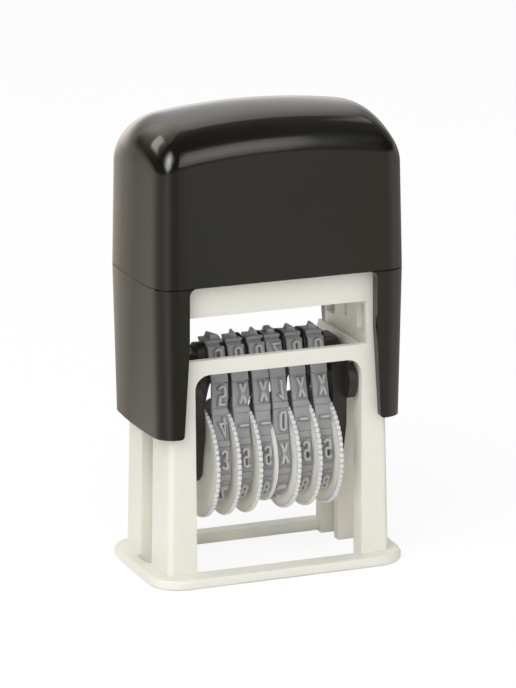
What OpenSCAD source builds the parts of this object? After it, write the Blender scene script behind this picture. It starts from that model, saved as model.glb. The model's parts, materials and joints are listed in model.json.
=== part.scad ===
// Self-inking band numberer: a cream frame that stands on the paper, a glossy
// cover that is pressed down over it, and a carriage with six rubber number
// bands that turns over about two pivot pins as the cover goes down.
// X is the width, Y the depth with the front at -Y, Z is up. The origin is the
// middle of the resting face. Lengths are in millimetres.

/* [Cover] */
// Width of the cover at its seam
cover_w = 48; // [47:0.25:52]
// Depth of the cover at its seam
cover_d = 26.56; // [26.4:0.05:30]
// How far the ends of the cover bow outward
cover_bow = 0.8; // [0.3:0.1:1.5]
// Radius of the cover's upright corners
cover_corner_r = 4; // [3:0.25:6]
// Height of the seam between cap and housing
seam_z = 54.3; // [54.1:0.1:57]
// Height of the crown above the resting face
crown_z = 83.8; // [83.5:0.1:88]
// Radius of the crown across the width
crown_rx = 113.6; // [90:1:200]
// Radius of the crown across the depth
crown_ry = 27.2; // [24:0.2:40]
// Rounding between the crown and the ends
edge_end_r = 6.8; // [4:0.2:9]
// Rounding between the crown and the front and back
edge_front_r = 4.6; // [3:0.2:6]
// Inward lean of the cap from its seam to its rounding
cap_draft = 0.35; // [0.1:0.05:0.6]
// Inward lean of the legs from the seam down to their ends
leg_draft = 0.5; // [0.1:0.05:0.7]
// Wall of the cap
cap_wall = 1.33; // [1:0.05:1.4]
// Wall of the housing's sleeve inside the cap
sleeve_wall = 0.75; // [0.6:0.05:0.8]
// Wall of the legs at their lower ends
leg_wall = 1.35; // [1.1:0.05:1.4]
// Height of the legs' lower ends
leg_z = 27.3; // [26:0.1:31]
// Half the gap between the two legs
leg_gap_x = 17.6; // [17:0.1:18.5]
// How much wider the gap is at the legs' lower ends
leg_flare = 0.95; // [0:0.05:1.5]
// Height where that flare starts
flare_z = 44; // [38:0.5:50]
// Height of the sleeve's top edge
sleeve_top_z = 71; // [62:0.5:74]
// Height of the sleeve's lower edge between the legs
sleeve_arch_z = 58.2; // [57.6:0.1:61]

/* [Base frame] */
// How much wider the foot ring is than the cover
foot_over = 0.45; // [0.2:0.05:2]
// Depth of the foot ring
foot_d = 28.08; // [27:0.05:33]
// Radius of the foot ring's corners
foot_corner_r = 5.6; // [4:0.2:7]
// Bow of the foot ring's ends
foot_bow = 0.54; // [0.2:0.02:1]
// Thickness of the foot ring
foot_t = 2; // [1.6:0.1:2.6]
// Rounding of the foot ring's edges
foot_edge_r = 0.8; // [0.4:0.05:0.9]
// How far the frame's ends stand inside the cover's seam
side_clear = 2.85; // [2.7:0.05:3.2]
// Half the depth of the frame at the resting face
frame_y = 11.1; // [10.9:0.02:11.14]
// Inward lean of the frame's ends, in millimetres a millimetre
frame_lean_x = 0.0215; // [0.01:0.0005:0.024]
// Inward lean of the frame's front and back
frame_lean_y = 0.012; // [0.005:0.0005:0.014]
// Radius of the frame's upright corners
frame_corner_r = 1; // [0.6:0.1:1.6]
// Top of the frame
frame_top_z = 54.3; // [54:0.05:54.4]
// Half the width between the side walls
bay_x = 15.95; // [15.8:0.05:16.3]
// Half the width of the front opening
front_x = 15.75; // [15.65:0.05:15.9]
// Half the depth of the opening in the foot ring
print_y = 10.5; // [10.3:0.05:10.8]
// Underside of the front crossbar
bar_z = 37.95; // [37:0.1:38.5]
// Height of the front crossbar
bar_h = 2.65; // [2:0.05:3.2]
// Thickness of the front crossbar
bar_t = 1.35; // [1:0.05:1.45]
// Radius in the upper corners of the front opening
bar_fillet_r = 2.7; // [1.5:0.1:3.5]
// Underside of the ink box
box_z = 48.4; // [48:0.1:49]
// Half the width between the thin upper walls
upper_x = 17.5; // [17.2:0.05:17.8]
// Half the width of the opening under the ink box
upper_front_x = 16.8; // [16.4:0.1:17.1]
// Height of the ledge where the side walls get thinner
ledge_z = 39.4; // [39:0.1:40]
// Height of the lip on that ledge
lip_h = 0.8; // [0.5:0.1:1.2]
// Thickness of that lip
lip_t = 0.5; // [0.4:0.05:0.8]

/* [Side walls] */
// Thickness of the outer wall beside the hollows
hollow_wall = 1.3; // [1:0.1:1.8]
// Thickness of the wall over the hollows
hollow_top = 1.6; // [1.2:0.1:2.2]
// Depth of the rear posts
post_t = 2.1; // [1.6:0.1:2.6]
// Depth of the front posts
front_post_t = 4.4; // [3.6:0.1:5]
// Thickness of the ribs behind the pin slots
rib_t = 1.9; // [1.4:0.1:2.4]
// How far those ribs stand back from the bay
rib_back = 1.25; // [0.8:0.05:1.8]
// Depth of the latch pockets' front ends
latch_y = 6; // [5.7:0.1:6.3]
// Length of the latch pockets
latch_l = 4.1; // [3.5:0.1:4.2]
// How deep the latch pockets go into the walls
latch_t = 1.5; // [0.8:0.1:1.6]
// Height of the latch pockets above the ledge
latch_rise = 2.3; // [1.8:0.1:3]
// Depth of the key grooves' front ends
groove_y = 0.4; // [0:0.1:1]
// Length of the key grooves
groove_l = 1.5; // [1:0.1:2]
// How deep the key grooves go into the walls
groove_t = 0.5; // [0.3:0.05:0.8]
// Height of the key grooves above the ledge
groove_rise = 3.5; // [3:0.1:4]
// Length of the front reliefs
relief_l = 4.6; // [4:0.1:5]
// How deep the front reliefs go into the walls
relief_t = 0.9; // [0.5:0.05:1.2]
// Height of the front reliefs above the ledge
relief_rise = 2.5; // [2:0.1:3]

/* [Ink box] */
// Half the width of the tray
tray_x = 16.3; // [15:0.1:16.5]
// Front end of the tray, measured from the middle
tray_y = 8.2; // [7:0.1:8.4]
// Height of the tray
tray_h = 3.6; // [3.2:0.1:3.6]
// Thickness of the rails under the tray
rail_t = 0.9; // [0.7:0.05:0.95]
// Wall of the tray
tray_wall = 0.8; // [0.6:0.1:1]
// Thickness of the roof over the tray
roof_t = 1.2; // [1:0.05:1.25]
// How far the pad stands out of the tray
pad_proud = 0.4; // [0.1:0.05:0.5]

/* [Carriage] */
// Height of the pivot pins at rest
pivot_z = 33; // [32.8:0.05:33.2]
// Depth of the pivot pins
pivot_y = 0.6; // [0.3:0.05:0.7]
// Radius of the pivot pins
pivot_r = 2.4; // [1.8:0.1:2.5]
// Half the width of the slots that the pins run in
slot_half = 2.85; // [2.7:0.05:3.1]
// Height of the type face above the pivot pins at rest
type_lift = 10.2; // [10:0.05:10.3]
// Radius of the small end of the bands, to the face of the type
type_r = 4.2; // [4:0.05:4.4]
// Depth of the centre of that end
type_y = -0.5; // [-0.7:0.05:-0.3]
// Depth of the wheel axle
axle_y = -0.95; // [-1.1:0.05:-0.8]
// Height of the wheel axle at rest
axle_z = 19.9; // [19.8:0.05:20.2]
// Radius of the wheel axle
axle_r = 1.5; // [1:0.1:1.8]
// How much wider the axle's end caps are than the axle, on the radius
axle_cap_rim = 1.3; // [0.8:0.1:1.6]
// Thickness of the side cheeks
cheek_t = 2.6; // [2.2:0.05:2.65]
// Radius of the lower end of the cheeks
cheek_foot_r = 3.9; // [3.2:0.1:4.4]
// Radius of the upper end of the cheeks
cheek_head_r = 5.4; // [4.8:0.1:5.6]
// How far the ears reach forward of the pivot
ear_reach = 10.15; // [9:0.05:10.3]
// Thickness of the ears outside the cheeks
ear_out = 0.55; // [0.3:0.05:0.6]
// Thickness of the ears inside the cheeks' outer faces
ear_in = 0.9; // [0.6:0.05:1.2]
// How far the type bridge reaches down from the small ends' centre
bridge_drop = 4.6; // [4:0.1:4.8]

/* [Bands and wheels] */
// Number of bands, an even number
band_count = 6; // [2:2:6]
// Characters round each band
character_count = 12; // [10:1:13]
// Width of a band
band_w = 2.87; // [2.4:0.01:2.87]
// Radius of a band on its wheel, to the face of the type
band_r = 8.5; // [8.2:0.05:8.8]
// Thickness of the belt under the type blocks
belt_t = 0.9; // [0.7:0.05:1]
// Height of the type blocks
block_h = 0.9; // [0.6:0.05:0.9]
// Length of a type block along its band
block_l = 4.2; // [3.6:0.1:4.3]
// Radius of the toothed disc
disc_r = 10.5; // [10:0.05:10.6]
// Thickness of the toothed disc
disc_t = 0.7; // [0.5:0.05:0.7]
// Teeth round the disc
tooth_count = 66; // [48:2:72]
// Depth of the teeth
tooth_h = 0.62; // [0.4:0.02:0.7]
// Radius of the plain disc on the wheel's other side
rim_r = 8.65; // [8.5:0.05:9]
// Thickness of the plain disc
rim_t = 0.23; // [0.2:0.01:0.25]

/* [Spring] */
// Wire of the return spring
spring_wire = 0.8; // [0.5:0.05:0.8]
// Mean radius of the return spring
spring_r = 5.2; // [4.6:0.1:5.6]
// Turns of the return spring
spring_turns = 5; // [4:1:5]

/* [Fits] */
// Running clearance of a shaft, on the radius
run_gap = 0.05; // [0.02:0.01:0.09]
// Clearance between parts that are fitted together
fit_gap = 0.05; // [0.02:0.01:0.08]
// Clearance between a band and its wheel's discs
band_gap = 0.07; // [0.05:0.01:0.1]
// Clearance between neighbouring wheels
wheel_gap = 0.1; // [0.06:0.01:0.14]

/* [Hidden] */

fine = 96;
small = 40;
over = 1;

cream = [0.87, 0.87, 0.83];
wheel_cream = [0.90, 0.88, 0.80];
cover_black = [0.12, 0.11, 0.10];
carriage_black = [0.15, 0.14, 0.13];
band_grey = [0.55, 0.55, 0.56];
steel = [0.72, 0.72, 0.74];
pad_blue = [0.16, 0.17, 0.24];

// The centre of the bands' small end. The cover comes down by
// pivot_z - type_lift, which lays the turned-over type on the paper.
type_top_z = pivot_z + type_lift;
type_z = type_top_z - type_r;
shoulder_z = crown_z - 6.8;
foot_w = cover_w + foot_over;
frame_x = cover_w / 2 - side_clear;

// ---- Outlines ----

// Where an end arc meets its corner arc, for a plan outline of width w.
function end_radius(d, bow) = (d * d / 4 + bow * bow) / (2 * bow);
function corner_x(w, d, bow, r) =
    w / 2 - end_radius(d, bow) + sqrt(pow(end_radius(d, bow) - r, 2) - pow(d / 2 - r, 2));
function end_angle(w, d, bow, r) =
    asin((d / 2 - r) / (end_radius(d, bow) - r));

end_steps = 6;
corner_steps = 6;
side_steps = 8;

// Upright outline with bowed ends and round corners: [x, y, share of end] a point.
function outline(w, d, bow, r) =
    let (
        er = end_radius(d, bow),
        ec = w / 2 - er,
        cx = corner_x(w, d, bow, r),
        cy = d / 2 - r,
        a = end_angle(w, d, bow, r),
        half = concat(
            [for (i = [0:end_steps]) let (t = -a + 2 * a * i / end_steps)
                [ec + er * cos(t), er * sin(t), pow(cos(t), 2)]],
            [for (i = [1:corner_steps]) let (t = a + (90 - a) * i / corner_steps)
                [cx + r * cos(t), cy + r * sin(t), pow(cos(t), 2)]],
            [for (i = [1:side_steps - 1]) [cx - 2 * cx * i / side_steps, d / 2, 0]],
            [for (i = [0:corner_steps - 1]) let (t = 90 + (90 - a) * i / corner_steps)
                [-cx + r * cos(t), cy + r * sin(t), pow(cos(t), 2)]])
    )
    concat(half, [for (p = half) [-p[0], -p[1], p[2]]]);

function flat(points) = [for (p = points) [p[0], p[1]]];

module slice(z, points, t = 0.01) {
    translate([0, 0, z]) linear_extrude(t) polygon(flat(points));
}

function cover_outline(inset) =
    outline(cover_w - 2 * inset, cover_d - 2 * inset, cover_bow, max(cover_corner_r - inset, 0.8));

function foot_outline(inset) =
    outline(foot_w - 2 * inset, foot_d - 2 * inset, foot_bow, foot_corner_r - inset);

// ---- Frame ----

function frame_half_x(z) = frame_x - frame_lean_x * z;
function frame_half_y(z) = frame_y - frame_lean_y * z;

module frame_slice(z) {
    translate([0, 0, z]) linear_extrude(0.01) {
        for (x = [-1, 1], y = [-1, 1])
            translate([x * (frame_half_x(z) - frame_corner_r), y * (frame_half_y(z) - frame_corner_r)])
                circle(frame_corner_r, $fn = small);
    }
}

module frame_block() {
    hull() {
        frame_slice(0);
        frame_slice(frame_top_z - 0.01);
    }
}

module foot_slab() {
    hull() {
        slice(0, foot_outline(foot_edge_r * 0.5));
        slice(foot_edge_r * 0.5, foot_outline(0));
        slice(foot_t - foot_edge_r, foot_outline(0));
        slice(foot_t - foot_edge_r * 0.3, foot_outline(foot_edge_r * 0.3));
        slice(foot_t - 0.01, foot_outline(foot_edge_r));
    }
}

// Extrudes a front view (X, Z) along the depth, from y1 to y2.
module front_view(y1, y2) {
    translate([0, y2, 0]) rotate([90, 0, 0]) linear_extrude(y2 - y1) children();
}

// Extrudes a side view (Y, Z) along the width, from x1 to x2.
module side_view(x1, x2) {
    translate([x1, 0, 0]) rotate([90, 0, 90]) linear_extrude(x2 - x1) children();
}

module box_span(x1, x2, y1, y2, z1, z2) {
    translate([x1, y1, z1]) cube([x2 - x1, y2 - y1, z2 - z1]);
}

module lower_opening() {
    square_top = bar_z - bar_fillet_r;
    translate([-front_x, foot_t]) square([2 * front_x, square_top - foot_t]);
    translate([-front_x + bar_fillet_r, foot_t])
        square([2 * (front_x - bar_fillet_r), bar_z - foot_t]);
    for (x = [-1, 1])
        translate([x * (front_x - bar_fillet_r), square_top]) circle(bar_fillet_r, $fn = small);
}

slot_front_y = pivot_y - slot_half;
slot_back_y = pivot_y + slot_half;
notch_out = 0.9;
rear_bay_y = frame_y + over;

// Slots through both side walls. Their round ends stop the pins at the top, and
// in the foot ring they are only as long as the walls are thick.
module pin_slots() {
    slot_end_z = pivot_z + pivot_r + 0.02 - slot_half;
    side_view(-foot_w, foot_w) {
        translate([slot_front_y, foot_t]) square([2 * slot_half, slot_end_z - foot_t]);
        translate([pivot_y, slot_end_z]) circle(slot_half, $fn = fine);
    }
    box_span(-frame_x, frame_x, slot_front_y, slot_back_y, -over, foot_t + over);
    // Round outer ends of the notches in the foot ring.
    for (x = [-1, 1])
        translate([x * frame_x, pivot_y, -over]) linear_extrude(foot_t + 2 * over)
            scale([notch_out / slot_half, 1]) circle(slot_half, $fn = small);
}

module bay() {
    bay_front_y = bar_t - frame_half_y(bar_z);
    // The space between the thick lower walls, open at the back.
    box_span(-bay_x, bay_x, bay_front_y, rear_bay_y, foot_t, ledge_z + over);
    box_span(-bay_x, bay_x, -print_y, print_y, -over, foot_t + over);
    // The space between the thin upper walls, under the ink box.
    box_span(-upper_x, upper_x, bay_front_y, rear_bay_y, ledge_z, box_z);
    box_span(-upper_front_x, upper_front_x, -frame_y - over, 0, bar_z + bar_h, box_z);
    front_view(-frame_y - over, 0) lower_opening();
}

tray_z = box_z + rail_t;
tray_gap = 0.15;
hatch_x = tray_x + tray_gap;
hatch_top_z = min(tray_z + tray_h + tray_gap, frame_top_z - roof_t);

module ink_bay() {
    // Room for the tray, which goes in from the back.
    box_span(-hatch_x, hatch_x, -tray_y - tray_gap, rear_bay_y, tray_z, hatch_top_z);
    // The mouth that the type strikes the pad through.
    mouth = tray_x - tray_wall - 0.4;
    box_span(-mouth, mouth, -tray_y + tray_wall + 0.4, tray_y - tray_wall - 0.4, box_z - over, tray_z);
}

// Hollows in the thick lower walls, open to the bay and through the foot ring.
module wall_hollows() {
    top_z = ledge_z - hollow_top;
    hollow_x = frame_half_x(ledge_z) - hollow_wall;
    post_y = frame_half_y(ledge_z) - post_t;
    for (x = [-1, 1]) scale([x, 1, 1]) {
        box_span(bay_x - over, hollow_x, slot_back_y + rib_t, post_y, -over, top_z);
        box_span(bay_x - over, bay_x + rib_back, slot_back_y - over, slot_back_y + rib_t + over, -over, top_z);
        box_span(bay_x - over, hollow_x, front_post_t - frame_y, slot_front_y + over, -over, top_z);
    }
}

// A recess in both thin upper walls, open at the top into the ink box's underside.
module wall_recess(y, length, depth, rise) {
    for (x = [-1, 1]) scale([x, 1, 1])
        box_span(upper_x - over, upper_x + depth, y, y + length, ledge_z + rise, box_z - hollow_top);
}

module wall_recesses() {
    wall_recess(latch_y, latch_l, latch_t, latch_rise);
    wall_recess(groove_y, groove_l, groove_t, groove_rise);
    wall_recess(bar_t + 0.4 - frame_half_y(ledge_z), relief_l, relief_t, relief_rise);
}

module ledge_lips() {
    lip_front_y = bar_t - frame_half_y(ledge_z);
    lip_back_y = frame_half_y(ledge_z) - lip_t;
    for (x = [-1, 1]) scale([x, 1, 1])
        box_span(bay_x, bay_x + lip_t, lip_front_y, lip_back_y, ledge_z - lip_t, ledge_z + lip_h);
}

module spring_spigot() {
    spigot_r = spring_r - spring_wire / 2 - 0.2;
    translate([0, 0, frame_top_z - roof_t]) difference() {
        cylinder(roof_t + 2, r = spigot_r, $fn = fine);
        translate([0, 0, roof_t]) cylinder(2 + over, r = spigot_r - 1.1, $fn = fine);
    }
}

module frame() {
    color(cream) union() {
        difference() {
            union() {
                foot_slab();
                frame_block();
            }
            bay();
            ink_bay();
            pin_slots();
            wall_hollows();
            wall_recesses();
        }
        ledge_lips();
        spring_spigot();
    }
}

// ---- Ink tray and pad ----

tray_back_y = frame_half_y(tray_z + tray_h) - 0.1;

module ink_tray() {
    color(carriage_black) difference() {
        union() {
            box_span(-tray_x, tray_x, -tray_y, tray_back_y, tray_z, tray_z + tray_h);
            // Finger bead along the back edge.
            translate([-5, tray_back_y - 0.1, tray_z + tray_h * 0.45])
                rotate([0, 90, 0]) cylinder(10, r = 0.45, $fn = small);
        }
        box_span(-tray_x + tray_wall, tray_x - tray_wall, -tray_y + tray_wall, tray_y - tray_wall,
            tray_z - over, tray_z + tray_h - tray_wall);
    }
}

module ink_pad() {
    pad_x = tray_x - tray_wall - 0.5;
    pad_y = tray_y - tray_wall - 0.5;
    color(pad_blue)
        box_span(-pad_x, pad_x, -pad_y, pad_y, tray_z - pad_proud, tray_z + tray_h - tray_wall);
}

// ---- Cover ----

function cap_lean(z) = cap_draft * (z - seam_z) / (shoulder_z - seam_z);
function crown(p) = crown_z - p[0] * p[0] / (2 * crown_rx) - p[1] * p[1] / (2 * crown_ry);

shoulder_steps = 6;
crown_steps = 4;

// One ring of the cap's skin: the outline drawn in by the rounding at angle a.
function shoulder_ring(a, wall) =
    let (
        ends = (edge_end_r - wall * 0.5) * (1 - cos(a)),
        sides = (edge_front_r - wall * 0.5) * (1 - cos(a)),
        w = cover_w - 2 * (cap_draft + wall + ends),
        d = cover_d - 2 * (cap_draft + wall + sides),
        r = max(cover_corner_r - wall - sides, 1.4)
    )
    [for (p = outline(w, d, cover_bow, r))
        let (drop = edge_front_r + (edge_end_r - edge_front_r) * p[2] - wall * 0.5)
        [p[0], p[1], crown(p) - wall - drop * (1 - sin(a))]];

function skin(wall, z0) =
    let (
        foot = outline(cover_w - 2 * wall, cover_d - 2 * wall, cover_bow, cover_corner_r - wall),
        rings = [for (i = [0:shoulder_steps]) shoulder_ring(90 * i / shoulder_steps, wall)],
        last = rings[shoulder_steps]
    )
    concat(
        [[for (p = foot) [p[0], p[1], z0]]],
        rings,
        [for (i = [1:crown_steps]) let (s = 1 - i / (crown_steps + 1))
            [for (p = last) [s * p[0], s * p[1], crown(s * p) - wall]]]);

// Closed thin shell between an outer and an inner skin of the same form.
module cap_shell() {
    outer = skin(0, seam_z);
    inner = skin(cap_wall, seam_z);
    n = len(outer[0]);
    rings = len(outer);
    points = concat([for (r = outer, p = r) p], [for (r = inner, p = r) p],
        [[0, 0, crown_z], [0, 0, crown_z - cap_wall]]);
    in0 = n * rings;
    tip = 2 * n * rings;
    faces = concat(
        [for (j = [0:rings - 2], i = [0:n - 1]) let (k = (i + 1) % n)
            each [[j * n + i, (j + 1) * n + i, (j + 1) * n + k], [j * n + i, (j + 1) * n + k, j * n + k]]],
        [for (i = [0:n - 1]) let (k = (i + 1) % n)
            [(rings - 1) * n + i, tip, (rings - 1) * n + k]],
        [for (j = [0:rings - 2], i = [0:n - 1]) let (k = (i + 1) % n)
            each [[in0 + j * n + i, in0 + j * n + k, in0 + (j + 1) * n + k],
                [in0 + j * n + i, in0 + (j + 1) * n + k, in0 + (j + 1) * n + i]]],
        [for (i = [0:n - 1]) let (k = (i + 1) % n)
            [in0 + (rings - 1) * n + i, in0 + (rings - 1) * n + k, tip + 1]],
        [for (i = [0:n - 1]) let (k = (i + 1) % n)
            each [[i, k, in0 + k], [i, in0 + k, in0 + i]]]);
    polyhedron(points, faces);
}

spring_roof_z = crown_z - cap_wall - pow(spring_r + 2, 2) / (2 * crown_ry) - 0.3;

// Collar under the crown that keeps the spring in place.
module spring_collar() {
    collar_in = spring_r + spring_wire / 2 + 0.25;
    translate([0, 0, spring_roof_z]) difference() {
        translate([0, 0, -1.6]) cylinder(2.2, r = collar_in + 1.1, $fn = fine);
        translate([0, 0, -1.6 - over]) cylinder(1.6 + over, r = collar_in, $fn = fine);
    }
}

module cap() {
    color(cover_black) union() {
        cap_shell();
        spring_collar();
    }
}

sleeve_inset = cap_wall + fit_gap;
bore_inset = sleeve_inset + sleeve_wall;

module sleeve() {
    hull() {
        slice(seam_z - 2, cover_outline(sleeve_inset));
        slice(sleeve_top_z - 0.01, cover_outline(sleeve_inset + cap_lean(sleeve_top_z)));
    }
}

module legs() {
    hull() {
        slice(leg_z, cover_outline(leg_draft));
        slice(seam_z - 0.01, cover_outline(0));
    }
}

module cover_bore() {
    hull() {
        slice(leg_z - over, cover_outline(leg_draft + leg_wall));
        slice(seam_z, cover_outline(bore_inset));
        slice(sleeve_top_z + over, cover_outline(bore_inset + cap_lean(sleeve_top_z)));
    }
}

leg_fillet_r = 1.3;
leg_corner_r = 0.7;

// Front view of the gap between the legs, flared toward its lower end.
module leg_gap() {
    top = seam_z - leg_fillet_r;
    low_x = leg_gap_x + leg_flare;
    polygon([
        [-low_x, leg_z - over], [low_x, leg_z - over], [low_x, leg_z],
        [leg_gap_x, flare_z], [leg_gap_x, top],
        for (i = [1:8]) let (t = 90 * i / 8)
            [leg_gap_x - leg_fillet_r * (1 - cos(t)), top + leg_fillet_r * sin(t)],
        [leg_gap_x - leg_fillet_r, sleeve_arch_z], [leg_fillet_r - leg_gap_x, sleeve_arch_z],
        for (i = [8:-1:1]) let (t = 90 * i / 8)
            [leg_fillet_r * (1 - cos(t)) - leg_gap_x, top + leg_fillet_r * sin(t)],
        [-leg_gap_x, top], [-leg_gap_x, flare_z], [-low_x, leg_z]
    ]);
    // Round lower inner corners of the legs.
    for (x = [-1, 1]) difference() {
        translate([x * (low_x + leg_corner_r / 2) - leg_corner_r / 2, leg_z - over])
            square([leg_corner_r, leg_corner_r + over]);
        translate([x * (low_x + leg_corner_r), leg_z + leg_corner_r]) circle(leg_corner_r, $fn = small);
    }
}

boss_face_x = frame_x + 0.25;
pin_end_x = cover_w / 2 - leg_draft - 0.9;

module pin_bosses() {
    boss_r = pivot_r + 1.5;
    for (x = [-1, 1])
        translate([x > 0 ? boss_face_x : -pin_end_x - 0.3, pivot_y, pivot_z]) rotate([0, 90, 0])
            cylinder(pin_end_x + 0.3 - boss_face_x, r = boss_r, $fn = fine);
}

module housing() {
    color(cover_black) difference() {
        union() {
            difference() {
                union() {
                    legs();
                    sleeve();
                }
                cover_bore();
                front_view(-cover_d, cover_d) leg_gap();
            }
            pin_bosses();
        }
        translate([-pin_end_x - fit_gap, pivot_y, pivot_z]) rotate([0, 90, 0])
            cylinder(2 * (pin_end_x + fit_gap), r = pivot_r + 0.01, $fn = fine);
    }
}

pin_inner_x = 12.75;

module pivot_pins() {
    color(steel) for (x = [-1, 1])
        translate([x > 0 ? pin_inner_x : -pin_end_x, pivot_y, pivot_z]) rotate([0, 90, 0])
            cylinder(pin_end_x - pin_inner_x, r = pivot_r, $fn = fine);
}

// ---- Return spring ----

spring_low_z = frame_top_z + spring_wire / 2 + 0.05;
spring_high_z = spring_roof_z - spring_wire / 2 - 0.05;
spring_sides = 8;
spring_ring_steps = 20;

// The end turns lie flat, and the rest climbs evenly.
function spring_rise(t) =
    let (u = (t - 1) / (spring_turns - 2)) t < 1 ? 0 : t > spring_turns - 1 ? 1 : u;

module return_spring() {
    steps = spring_turns * spring_ring_steps;
    rings = [for (i = [0:steps]) let (
            t = i / spring_ring_steps,
            lift = spring_wire * 1.02 * min(1, t) + spring_wire * 1.02 * max(0, t - spring_turns + 1),
            span = spring_high_z - spring_low_z - 2 * spring_wire * 1.02,
            z = spring_low_z + lift + span * spring_rise(t))
        [for (k = [0:spring_sides - 1]) let (a = 360 * k / spring_sides, rr = spring_r + spring_wire / 2 * cos(a))
            [rr * cos(360 * t), rr * sin(360 * t), z + spring_wire / 2 * sin(a)]]];
    n = spring_sides;
    last = steps * n;
    points = [for (r = rings, p = r) p];
    faces = concat(
        [[for (k = [0:n - 1]) k]],
        [[for (k = [n - 1:-1:0]) last + k]],
        [for (j = [0:steps - 1], k = [0:n - 1]) let (m = (k + 1) % n)
            each [[j * n + k, (j + 1) * n + k, (j + 1) * n + m], [j * n + k, (j + 1) * n + m, j * n + m]]]);
    color(steel) polyhedron(points, faces);
}

// ---- Carriage ----

wheel_w = disc_t + band_gap + band_w + band_gap + rim_t;
side_count = band_count / 2;
cheek_in_x = side_count * wheel_w + (side_count - 0.5) * wheel_gap + 0.15;
cheek_out_x = cheek_in_x + cheek_t;

// Belt-shaped area round both ends, drawn in by the given depth.
ends_gap = norm([type_y - axle_y, type_z - axle_z]);
belt_angle = asin((band_r - type_r) / ends_gap);
belt_tilt = atan2(type_y - axle_y, type_z - axle_z);
arc_step = 5;

function arc(centre, r, from, to) =
    let (n = ceil((to - from) / arc_step))
    [for (i = [0:n]) let (a = from + (to - from) * i / n) centre + r * [cos(a), sin(a)]];

module belt_area(inset) {
    // Directions of the straight runs' outer sides, from the horizontal.
    front = 180 - belt_angle - belt_tilt;
    back = belt_angle - belt_tilt;
    polygon(concat(
        arc([type_y, type_z], type_r - inset, back, front),
        arc([axle_y, axle_z], band_r - inset, front, back + 360)));
}

// The line along the belt that keeps its length, and a character's share of it.
neutral_depth = block_h + belt_t - 0.05;
straight_l = sqrt(pow(ends_gap, 2) - pow(band_r - type_r, 2));
big_arc_l = (band_r - neutral_depth) * PI * (180 + 2 * belt_angle) / 180;
small_arc_l = (type_r - neutral_depth) * PI * (180 - 2 * belt_angle) / 180;
belt_l = 2 * straight_l + big_arc_l + small_arc_l;
pitch = belt_l / character_count;

// Place and lean of the type face s along the belt from the top, front side first:
// [depth, height, angle of its outward direction].
function on_belt(s) =
    let (
        first_angle = 90 - belt_angle - belt_tilt,
        first_l = (type_r - neutral_depth) * PI * first_angle / 180,
        a0 = 90 + s / (type_r - neutral_depth) * 180 / PI,
        front = 90 + first_angle,
        s1 = s - first_l,
        s2 = s1 - straight_l,
        a2 = front + s2 / (band_r - neutral_depth) * 180 / PI
    )
    s < first_l ? [type_y + type_r * cos(a0), type_z + type_r * sin(a0), a0]
    : s1 < straight_l ? [
        type_y + type_r * cos(front) - s1 * sin(front),
        type_z + type_r * sin(front) + s1 * cos(front), front]
    : [axle_y + band_r * cos(a2), axle_z + band_r * sin(a2), a2];

// The back run is the front run seen in the line through both ends.
function mirrored(p) =
    let (
        m = 2 * (90 - belt_tilt),
        dy = p[0] - axle_y,
        dz = p[1] - axle_z
    )
    [axle_y + dy * cos(m) + dz * sin(m), axle_z + dy * sin(m) - dz * cos(m), m - p[2]];

// Places past the lowest point of the wheel come from the mirrored run, so that
// both runs meet there whatever the pitch is.
top_shift = 2 * (type_r - neutral_depth) * PI * belt_tilt / 180;
function type_place(i) =
    let (s = i * pitch, half_l = belt_l / 2 - top_shift / 2)
    s < half_l ? on_belt(s) : mirrored(on_belt(belt_l - s - top_shift));

module type_blocks() {
    for (i = [0:character_count - 1]) {
        place = type_place(i);
        translate([place[0], place[1]]) rotate(place[2])
            translate([-block_h - 0.3, -block_l / 2]) square([block_h + 0.3, block_l]);
    }
}

function band_x(i) =
    let (
        from_middle = i < side_count ? side_count - i : i - side_count + 1,
        inner = wheel_gap / 2 + (from_middle - 1) * (wheel_w + wheel_gap) + rim_t + band_gap
    )
    i < side_count ? -inner - band_w : inner;

module number_band(i) {
    color(band_grey) side_view(band_x(i), band_x(i) + band_w) {
        difference() {
            union() {
                belt_area(block_h);
                type_blocks();
            }
            belt_area(block_h + belt_t);
        }
    }
}

module toothed_outline() {
    root_r = disc_r - tooth_h;
    step = 360 / tooth_count;
    // Each tooth is a gap bottom, a steep flank and a rounded tip.
    shape = [[-0.5, 0], [-0.36, 0.12], [-0.3, 0.62], [-0.17, 0.93], [0, 1], [0.17, 0.93], [0.3, 0.62], [0.36, 0.12]];
    polygon([for (i = [0:tooth_count - 1], p = shape)
        let (a = (i + p[0]) * step, r = root_r + tooth_h * p[1]) [r * cos(a), r * sin(a)]]);
}

module number_wheel(i) {
    left = i < side_count;
    x = band_x(i);
    disc_x = left ? x - band_gap - disc_t : x + band_w + band_gap;
    rim_x = left ? x + band_w + band_gap : x - band_gap - rim_t;
    low_x = min(disc_x, rim_x);
    drum_r = band_r - block_h - belt_t - 0.15;
    color(wheel_cream) difference() {
        union() {
            side_view(disc_x, disc_x + disc_t) translate([axle_y, axle_z]) toothed_outline();
            side_view(low_x, low_x + wheel_w) translate([axle_y, axle_z]) circle(drum_r, $fn = fine);
            side_view(rim_x, rim_x + rim_t) translate([axle_y, axle_z]) circle(rim_r, $fn = fine);
        }
        side_view(low_x - over, low_x + wheel_w + over)
            translate([axle_y, axle_z]) circle(axle_r + run_gap, $fn = fine);
    }
}

cheek_waist_z = 25;

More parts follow.
